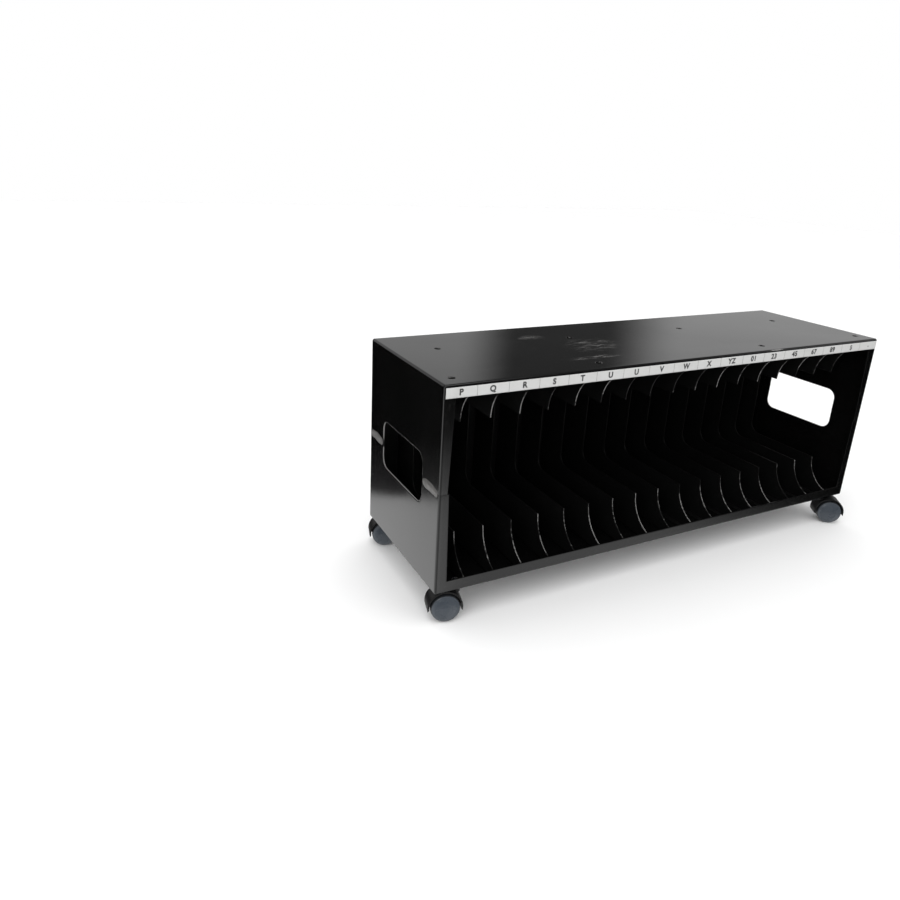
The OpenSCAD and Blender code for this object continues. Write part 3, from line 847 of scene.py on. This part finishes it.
zinc = zinc_plate()
CORNERS = ("front_left", "front_right", "rear_left", "rear_right")
for corner in CORNERS:
    for kind in ("stem", "axle"):
        cad_piece = frame["nodes"][f"{corner}_{kind}"]
        cad_piece.data.materials.clear()
        cad_piece.data.materials.append(zinc)
for kind in ("stem_washers", "stem_nuts"):
    cad_piece = frame["nodes"][kind]
    cad_piece.data.materials.clear()
    cad_piece.data.materials.append(zinc)

# ------------------------------------------------------------------------ hoods
# A black moulded nylon hood covers each pair of wheels from above and carries the
# axle in its web. Its edges are rounded by the mould, and its skin is satin.
def moulded_black():
    """Black nylon: a fine spark-eroded texture, slightly bleached, with light scuffs."""
    material, tree, shader, place = new_material("hood_nylon")
    grain = noise(tree, place, 1400.0, 3.0)
    scuff = between(tree, noise(tree, place, 90.0, 6.0, 0.7), 0.56, 0.74)
    base = blend_colour(tree, noise(tree, place, 30.0), grey(0.006), grey(0.012))
    base = blend_colour(tree, sum_up(tree, "MULTIPLY", scuff, 0.3), base, grey(0.03))
    tree.links.new(base, shader.inputs["Base Color"])
    tree.links.new(between(tree, grain, 0.3, 0.7, 0.30, 0.42), shader.inputs["Roughness"])
    shader.inputs["Specular IOR Level"].default_value = 0.22
    bump = add(tree, "ShaderNodeBump", Strength=0.25, Distance=0.0002, Height=grain)
    tree.links.new(bump.outputs[0], shader.inputs["Normal"])
    return material


hood_nylon = moulded_black()
MOULD_EDGE = 0.5 * MM
for corner in CORNERS:
    node = frame["nodes"][f"{corner}_hood"]
    mesh = node.data.copy()
    mesh.name = f"{corner}_hood_moulding"
    mesh.materials.clear()
    work = bmesh.new()
    work.from_mesh(mesh)
    bmesh.ops.remove_doubles(work, verts=work.verts, dist=0.01 * MM)
    work.to_mesh(mesh)
    work.free()
    mesh.shade_smooth()
    hood = put_in(
        f"{corner}_hood_moulding", mesh, hood_nylon, f"{corner}_caster", "hood_plastic", f"{corner}_hood"
    )
    edge = hood.modifiers.new("mould_edge", "BEVEL")
    edge.width = MOULD_EDGE
    edge.segments = 2
    edge.limit_method = "ANGLE"
    edge.angle_limit = math.radians(40)
    flats = hood.modifiers.new("flats", "WEIGHTED_NORMAL")
    flats.keep_sharp = True

# ----------------------------------------------------------------------- wheels
# Two domed wheels to a caster, moulded in slate grey nylon, with the tread band and the dome's rim painted
# dark as shade.
# The dome has a shallow ring where the gate was trimmed and a groove before the
# tread. The inner side is open between hub and rim.
WHEEL_RADIUS = 25.0 * MM
WHEEL_GAP = 6.5 * MM
TREAD = 9.5 * MM
DOME = 7.0 * MM
AXLE_RADIUS = 3.0 * MM
WHEEL_STEPS = 96


def wheel_profile():
    """Half section of a wheel as (radius, distance out, share of painted tread shade), from bore to bore.

    It goes from the hub's inner end out over the floor and rim, round the crowned
    tread, over the dome with its ring, and back in to the axis.
    """
    crown = np.linspace(0, 1, 9)
    tread_out = WHEEL_GAP + 0.9 * MM + (TREAD - 1.6 * MM) * crown
    tread_radius = WHEEL_RADIUS - 0.35 * MM * (2 * crown - 1) ** 2
    dome = np.radians(np.linspace(3, 90, 30))
    dome_radius = (WHEEL_RADIUS - 0.5 * MM) * np.cos(dome)
    ring = 0.28 * MM * np.exp(-(((dome_radius - 9.5 * MM) / (0.7 * MM)) ** 2))
    groove = 0.35 * MM * np.exp(-(((dome_radius - 21.6 * MM) / (0.5 * MM)) ** 2))
    dome_out = WHEEL_GAP + TREAD + (DOME - 0.1 * MM) * np.sin(dome) - ring - groove
    floor = WHEEL_GAP + TREAD - 1.0 * MM
    inner = [
        (AXLE_RADIUS + 0.05 * MM, WHEEL_GAP + 7.5 * MM, 0),
        (AXLE_RADIUS + 0.05 * MM, WHEEL_GAP + 0.3 * MM, 0),
        (AXLE_RADIUS + 0.35 * MM, WHEEL_GAP, 0),
        (6.6 * MM, WHEEL_GAP, 0),
        (7.0 * MM, WHEEL_GAP + 0.4 * MM, 0),
        (7.0 * MM, floor - 0.8 * MM, 0),
        (7.8 * MM, floor, 0),
        (20.7 * MM, floor, 0),
        (21.5 * MM, floor - 0.8 * MM, 0),
        (21.5 * MM, WHEEL_GAP + 0.5 * MM, 0.6),
        (22.0 * MM, WHEEL_GAP, 0.8),
        (WHEEL_RADIUS - 1.1 * MM, WHEEL_GAP, 1),
        (WHEEL_RADIUS - 0.7 * MM, WHEEL_GAP + 0.3 * MM, 1),
    ]
    shaded_tread = np.stack([tread_radius, tread_out, np.ones(9)], -1)
    # the outer rim of the dome gets the painted tread shade as well
    face = np.stack([dome_radius, dome_out, np.where(dome_radius > 23.7 * MM, 0.9, 0.0)], -1)
    return np.concatenate([np.array(inner), shaded_tread, face])


def turned(name, profile, middle, axis, out):
    """A profile turned about an axle: radius times the turning direction plus out along it."""
    angle = np.linspace(0, 2 * math.pi, WHEEL_STEPS + 1)
    axis = np.array(axis)
    up = np.array([0.0, 0.0, 1.0])
    side = np.cross(up, axis)
    around = np.cos(angle)[:, None] * side + np.sin(angle)[:, None] * up
    points = (
        np.array(middle)
        + profile[None, :, 0, None] * around[:, None, :]
        + profile[None, :, 1, None] * out * axis
    )
    points[-1] = points[0]
    shaded_tread = np.repeat(profile[None, :, 2], len(angle), 0)
    keep = np.ones((WHEEL_STEPS, len(profile) - 1), bool)
    return grid_mesh(name, points, keep, shaded_tread, flip=out < 0)


def slate_nylon():
    """Slate grey nylon with flow marks and scuffs, and a rough rolled tread painted dark as shade."""
    material, tree, shader, place = new_material("wheel_nylon")
    shaded_tread = add(tree, "ShaderNodeAttribute", {"attribute_name": "wear_and_painted_light"}).outputs["Fac"]
    flow = noise(tree, place, 60.0, 4.0)
    scuff = between(tree, noise(tree, place, 150.0, 6.0, 0.7, (1, 1, 3)), 0.6, 0.74)
    base = blend_colour(tree, flow, (0.038, 0.046, 0.057, 1), (0.058, 0.069, 0.083, 1))
    base = blend_colour(tree, sum_up(tree, "MULTIPLY", scuff, 0.4), base, (0.12, 0.13, 0.14, 1))
    # painted shade: the tread and the dome's rim turn near black, standing in for the shadow they sit in
    painted_shade_band = between(tree, shaded_tread, 0.35, 0.75)
    base = blend_colour(tree, painted_shade_band, base, (0.014, 0.016, 0.019, 1))
    tree.links.new(base, shader.inputs["Base Color"])
    rough = between(tree, flow, 0.3, 0.7, 0.24, 0.33)
    rough = sum_up(tree, "ADD", rough, sum_up(tree, "MULTIPLY", painted_shade_band, 0.25))
    tree.links.new(rough, shader.inputs["Roughness"])
    bump = add(tree, "ShaderNodeBump", Strength=0.15, Distance=0.0002, Height=noise(tree, place, 900.0))
    tree.links.new(bump.outputs[0], shader.inputs["Normal"])
    return material


wheel_nylon = slate_nylon()
profile = wheel_profile()
for corner in CORNERS:
    for letter, out in (("a", -1), ("b", 1)):
        spin = next(j for j in frame["joints"] if j["name"] == f"{corner}_wheel_{letter}_spin")
        wheel = f"{corner}_wheel_{letter}"
        mesh = turned(f"{wheel}_moulding", profile, spin["pos_m"], spin["axis"], out)
        put_in(f"{wheel}_moulding", mesh, wheel_nylon, wheel, "wheel_plastic", wheel)

# ------------------------------------------------------------- floor and lights
# A plain pale floor and background, and large soft lights. The look of the black
# sheet comes from what it mirrors, so its gloss sees a room of its own: stretches of
# bright wall above, and a lit table with an edge below.
floor_mesh = bpy.data.meshes.new("floor")
floor_mesh.from_pydata([(-9, -9, 0), (9, -9, 0), (9, 9, 0), (-9, 9, 0)], [], [(0, 1, 2, 3)])
floor = bpy.data.objects.new("floor", floor_mesh)
bpy.context.scene.collection.objects.link(floor)
floor_material, floor_tree, floor_shader, floor_place = new_material("floor_pale")
pale = blend_colour(floor_tree, noise(floor_tree, floor_place, 3.0), grey(0.90), grey(0.93))
floor_tree.links.new(pale, floor_shader.inputs["Base Color"])
floor_shader.inputs["Roughness"].default_value = 0.9
floor_mesh.materials.append(floor_material)

world = bpy.data.worlds.new("studio")
world.use_nodes = True
bpy.context.scene.world = world
sky = world.node_tree
ray = add(sky, "ShaderNodeLightPath")
outlook = add(sky, "ShaderNodeTexCoord").outputs["Generated"]
facing = add(sky, "ShaderNodeSeparateXYZ", Vector=outlook)
heading = sum_up(sky, "ARCTAN2", facing.outputs[0], facing.outputs[1])


def wall_of_light(from_degrees, to_degrees, soft, strength):
    """A bright stretch of the room's walls between two headings, with soft sides."""
    low, high = math.radians(from_degrees), math.radians(to_degrees)
    rising = between(sky, heading, low, low + math.radians(soft))
    falling = between(sky, heading, high, high - math.radians(soft))
    return sum_up(sky, "MULTIPLY", sum_up(sky, "MULTIPLY", rising, falling), strength)


walls = sum_up(sky, "ADD", wall_of_light(40, 130, 6, 0.72), wall_of_light(-35, 33, 5, 0.62))
walls = sum_up(sky, "ADD", walls, wall_of_light(-150, -60, 25, 0.45))
low_down = between(sky, facing.outputs[2], 0.75, 0.3)
upper_room = sum_up(sky, "ADD", sum_up(sky, "MULTIPLY", walls, low_down), 0.08)

# Below eye level the gloss sees a lit floor that ends at a table edge on the left,
# and that is lit from the front only where the front lip of the cabinet faces it.
EDGE_TILT = math.radians(26.75)
EDGE_HEADING = math.radians(-30.7)
EDGE_PLANE = Vector((
    math.sin(EDGE_TILT) * math.sin(EDGE_HEADING),
    math.sin(EDGE_TILT) * math.cos(EDGE_HEADING),
    math.cos(EDGE_TILT),
))
over_edge = add(
    sky,
    "ShaderNodeVectorMath",
    {"operation": "DOT_PRODUCT"},
    i0=outlook,
    i1=EDGE_PLANE,
).outputs["Value"]
table = sum_up(sky, "MULTIPLY", between(sky, over_edge, 0.006, -0.006), wall_of_light(-125, -8, 6, 1.42))
haze = sum_up(sky, "MULTIPLY", between(sky, over_edge, 0.09, 0.0), wall_of_light(-125, -8, 6, 0.07))
front_low = between(sky, facing.outputs[2], -0.34, -0.49)
front_floor = sum_up(sky, "ADD", wall_of_light(119, 181, 14, 0.95), wall_of_light(150, 181, 3, 0.55))
front_floor = sum_up(sky, "ADD", front_floor, wall_of_light(-181, -125, 8, 0.9))
front_floor = sum_up(sky, "MULTIPLY", front_floor, front_low)
other_floor = sum_up(
    sky, "MULTIPLY", between(sky, facing.outputs[2], -0.15, -0.5), wall_of_light(-8, 119, 10, 0.6)
)
lower_room = sum_up(sky, "ADD", sum_up(sky, "ADD", table, haze), sum_up(sky, "ADD", front_floor, other_floor))
skyward = between(sky, facing.outputs[2], -0.03, 0.03)
room = sum_up(
    sky,
    "ADD",
    sum_up(sky, "MULTIPLY", upper_room, skyward),
    sum_up(sky, "MULTIPLY", lower_room, sum_up(sky, "SUBTRACT", 1.0, skyward)),
)
gloss_light = add(sky, "ShaderNodeBackground", Strength=room)
soft_light = add(sky, "ShaderNodeBackground", Color=(1.0, 1.0, 1.0, 1), Strength=1.15)
paper_light = add(sky, "ShaderNodeBackground", Color=(1.0, 1.0, 1.0, 1), Strength=1.0)


def choose(ray_kind, otherwise, light):
    """Shows one light to rays of one kind, and another light to the rest."""
    sockets = {"i0": ray.outputs[ray_kind], "i1": otherwise.outputs[0], "i2": light.outputs[0]}
    return add(sky, "ShaderNodeMixShader", **sockets)


lit = choose("Is Glossy Ray", soft_light, gloss_light)
shown = choose("Is Camera Ray", lit, paper_light)
sky.links.new(shown.outputs[0], sky.nodes["World Output"].inputs["Surface"])
floor.visible_glossy = False


def soft_box(name, place, target, width, height, power):
    """A large soft light at a place, turned to a target."""
    lamp = bpy.data.lights.new(name, "AREA")
    lamp.shape = "RECTANGLE"
    lamp.size = width
    lamp.size_y = height
    lamp.energy = power
    holder = bpy.data.objects.new(name, lamp)
    bpy.context.scene.collection.objects.link(holder)
    aim = Vector(target) - Vector(place)
    holder.matrix_world = Matrix.Translation(place) @ aim.to_track_quat("-Z", "Y").to_matrix().to_4x4()
    return lamp


soft_box("overhead", (-0.2, -0.3, 2.6), (0, 0, 0.2), 2.4, 2.0, 16)
soft_box("front_left", (-2.4, -1.6, 1.9), (0, 0, 0.2), 1.4, 1.4, 16)

# --------------------------------------------------------------------- camera
# A camera off the front left corner, 730 mm up, that looks down at the cabinet
# with a little roll.
CAMERA_PLACE = Vector((-0.9556, -1.0303, 0.7302))
YAW = math.radians(27.565)
PITCH_DOWN = math.radians(18.274)
ROLL = math.radians(2.801)
level = Vector((math.cos(YAW), -math.sin(YAW), 0))
forward = Vector((math.sin(YAW), math.cos(YAW), 0))
ahead = math.cos(PITCH_DOWN) * forward - Vector((0, 0, math.sin(PITCH_DOWN)))
upward = level.cross(ahead)
right = math.cos(ROLL) * level + math.sin(ROLL) * upward
upright = -math.sin(ROLL) * level + math.cos(ROLL) * upward
camera_data = bpy.data.cameras.new("camera")
camera_data.sensor_width = 36
camera_data.lens = 28.755
camera_data.shift_x = 0.0026
camera_data.shift_y = -0.0634
camera = bpy.data.objects.new("camera", camera_data)
bpy.context.scene.collection.objects.link(camera)
turn = Matrix((right, upright, -ahead)).transposed()
camera.matrix_world = Matrix.Translation(CAMERA_PLACE) @ turn.to_4x4()
bpy.context.scene.camera = camera
bpy.context.scene.view_settings.view_transform = "Standard"
